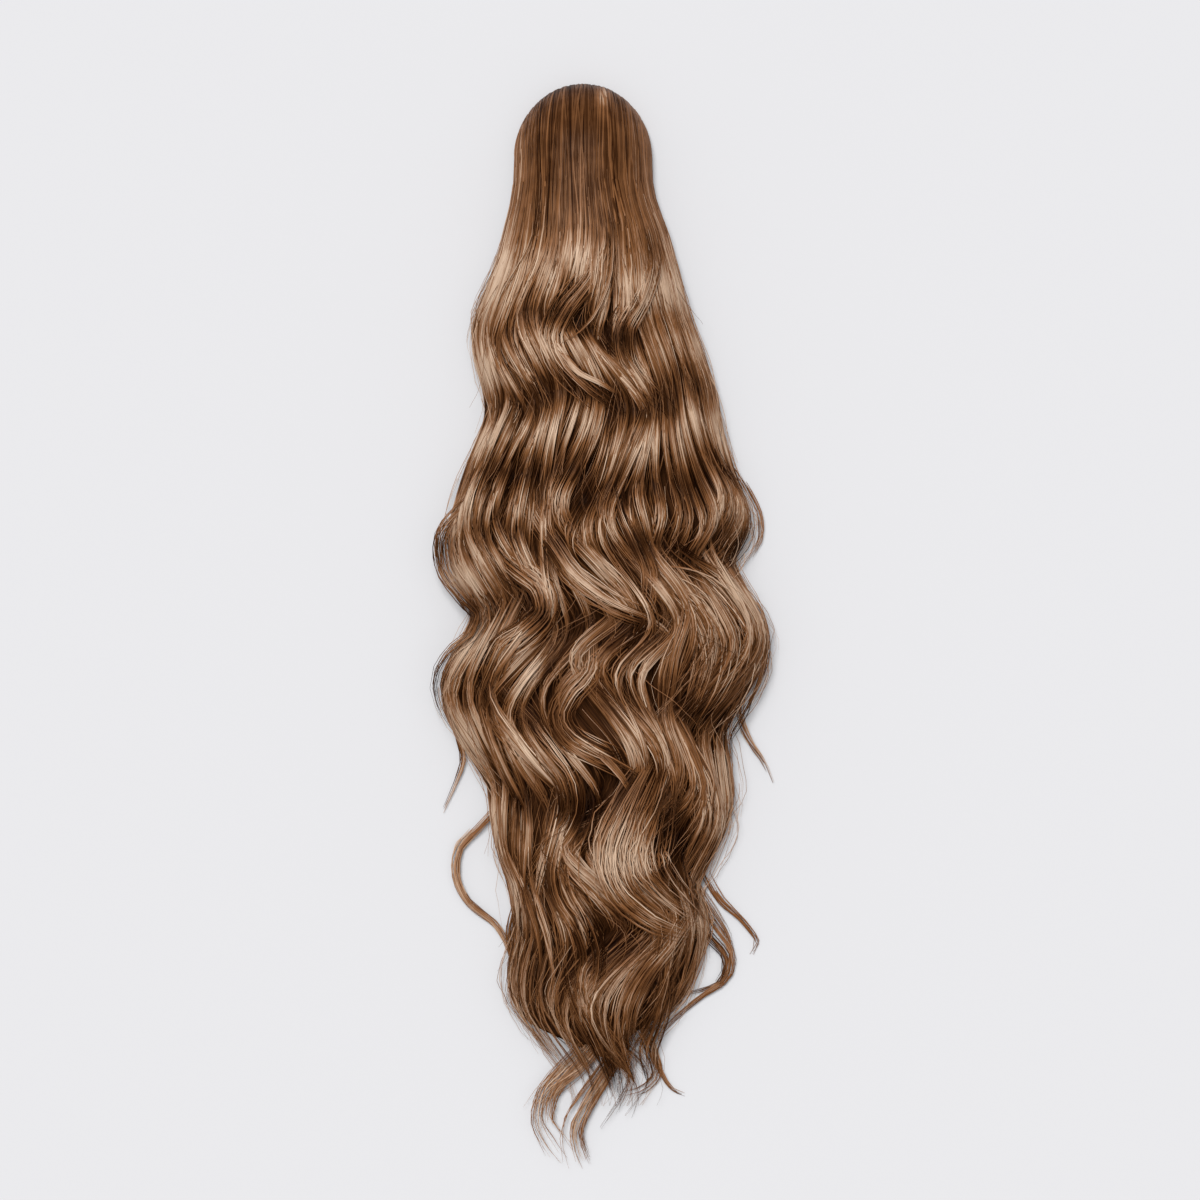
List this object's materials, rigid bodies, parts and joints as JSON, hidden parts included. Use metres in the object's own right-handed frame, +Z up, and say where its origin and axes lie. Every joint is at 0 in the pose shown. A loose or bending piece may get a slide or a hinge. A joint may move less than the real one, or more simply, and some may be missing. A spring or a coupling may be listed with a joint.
{
  "type": "ponytail hairpiece",
  "caption": "Long wavy ponytail hairpiece in layered brown hair on an oval open cap with a small comb, lying flat with its outer side up.",
  "frame": {"origin": "middle of the cap's flat rim at its front, on the table plane", "axes": "+Y from the tips towards the crown along the length, +Z up from the table through the outer side of the hair, +X across"},
  "size_m": [0.2072, 0.6603, 0.0461],
  "materials": {
    "hair": "glossy brown hair with lighter and darker streaks",
    "cap_net": "matte dark brown net cloth",
    "comb_plastic": "smooth dark brown"
  },
  "bodies": {
    "root": {"base_cap": "cap_net", "comb": "comb_plastic", "under_hair": "hair", "over_hair": "hair"}
  },
  "joints": []
}
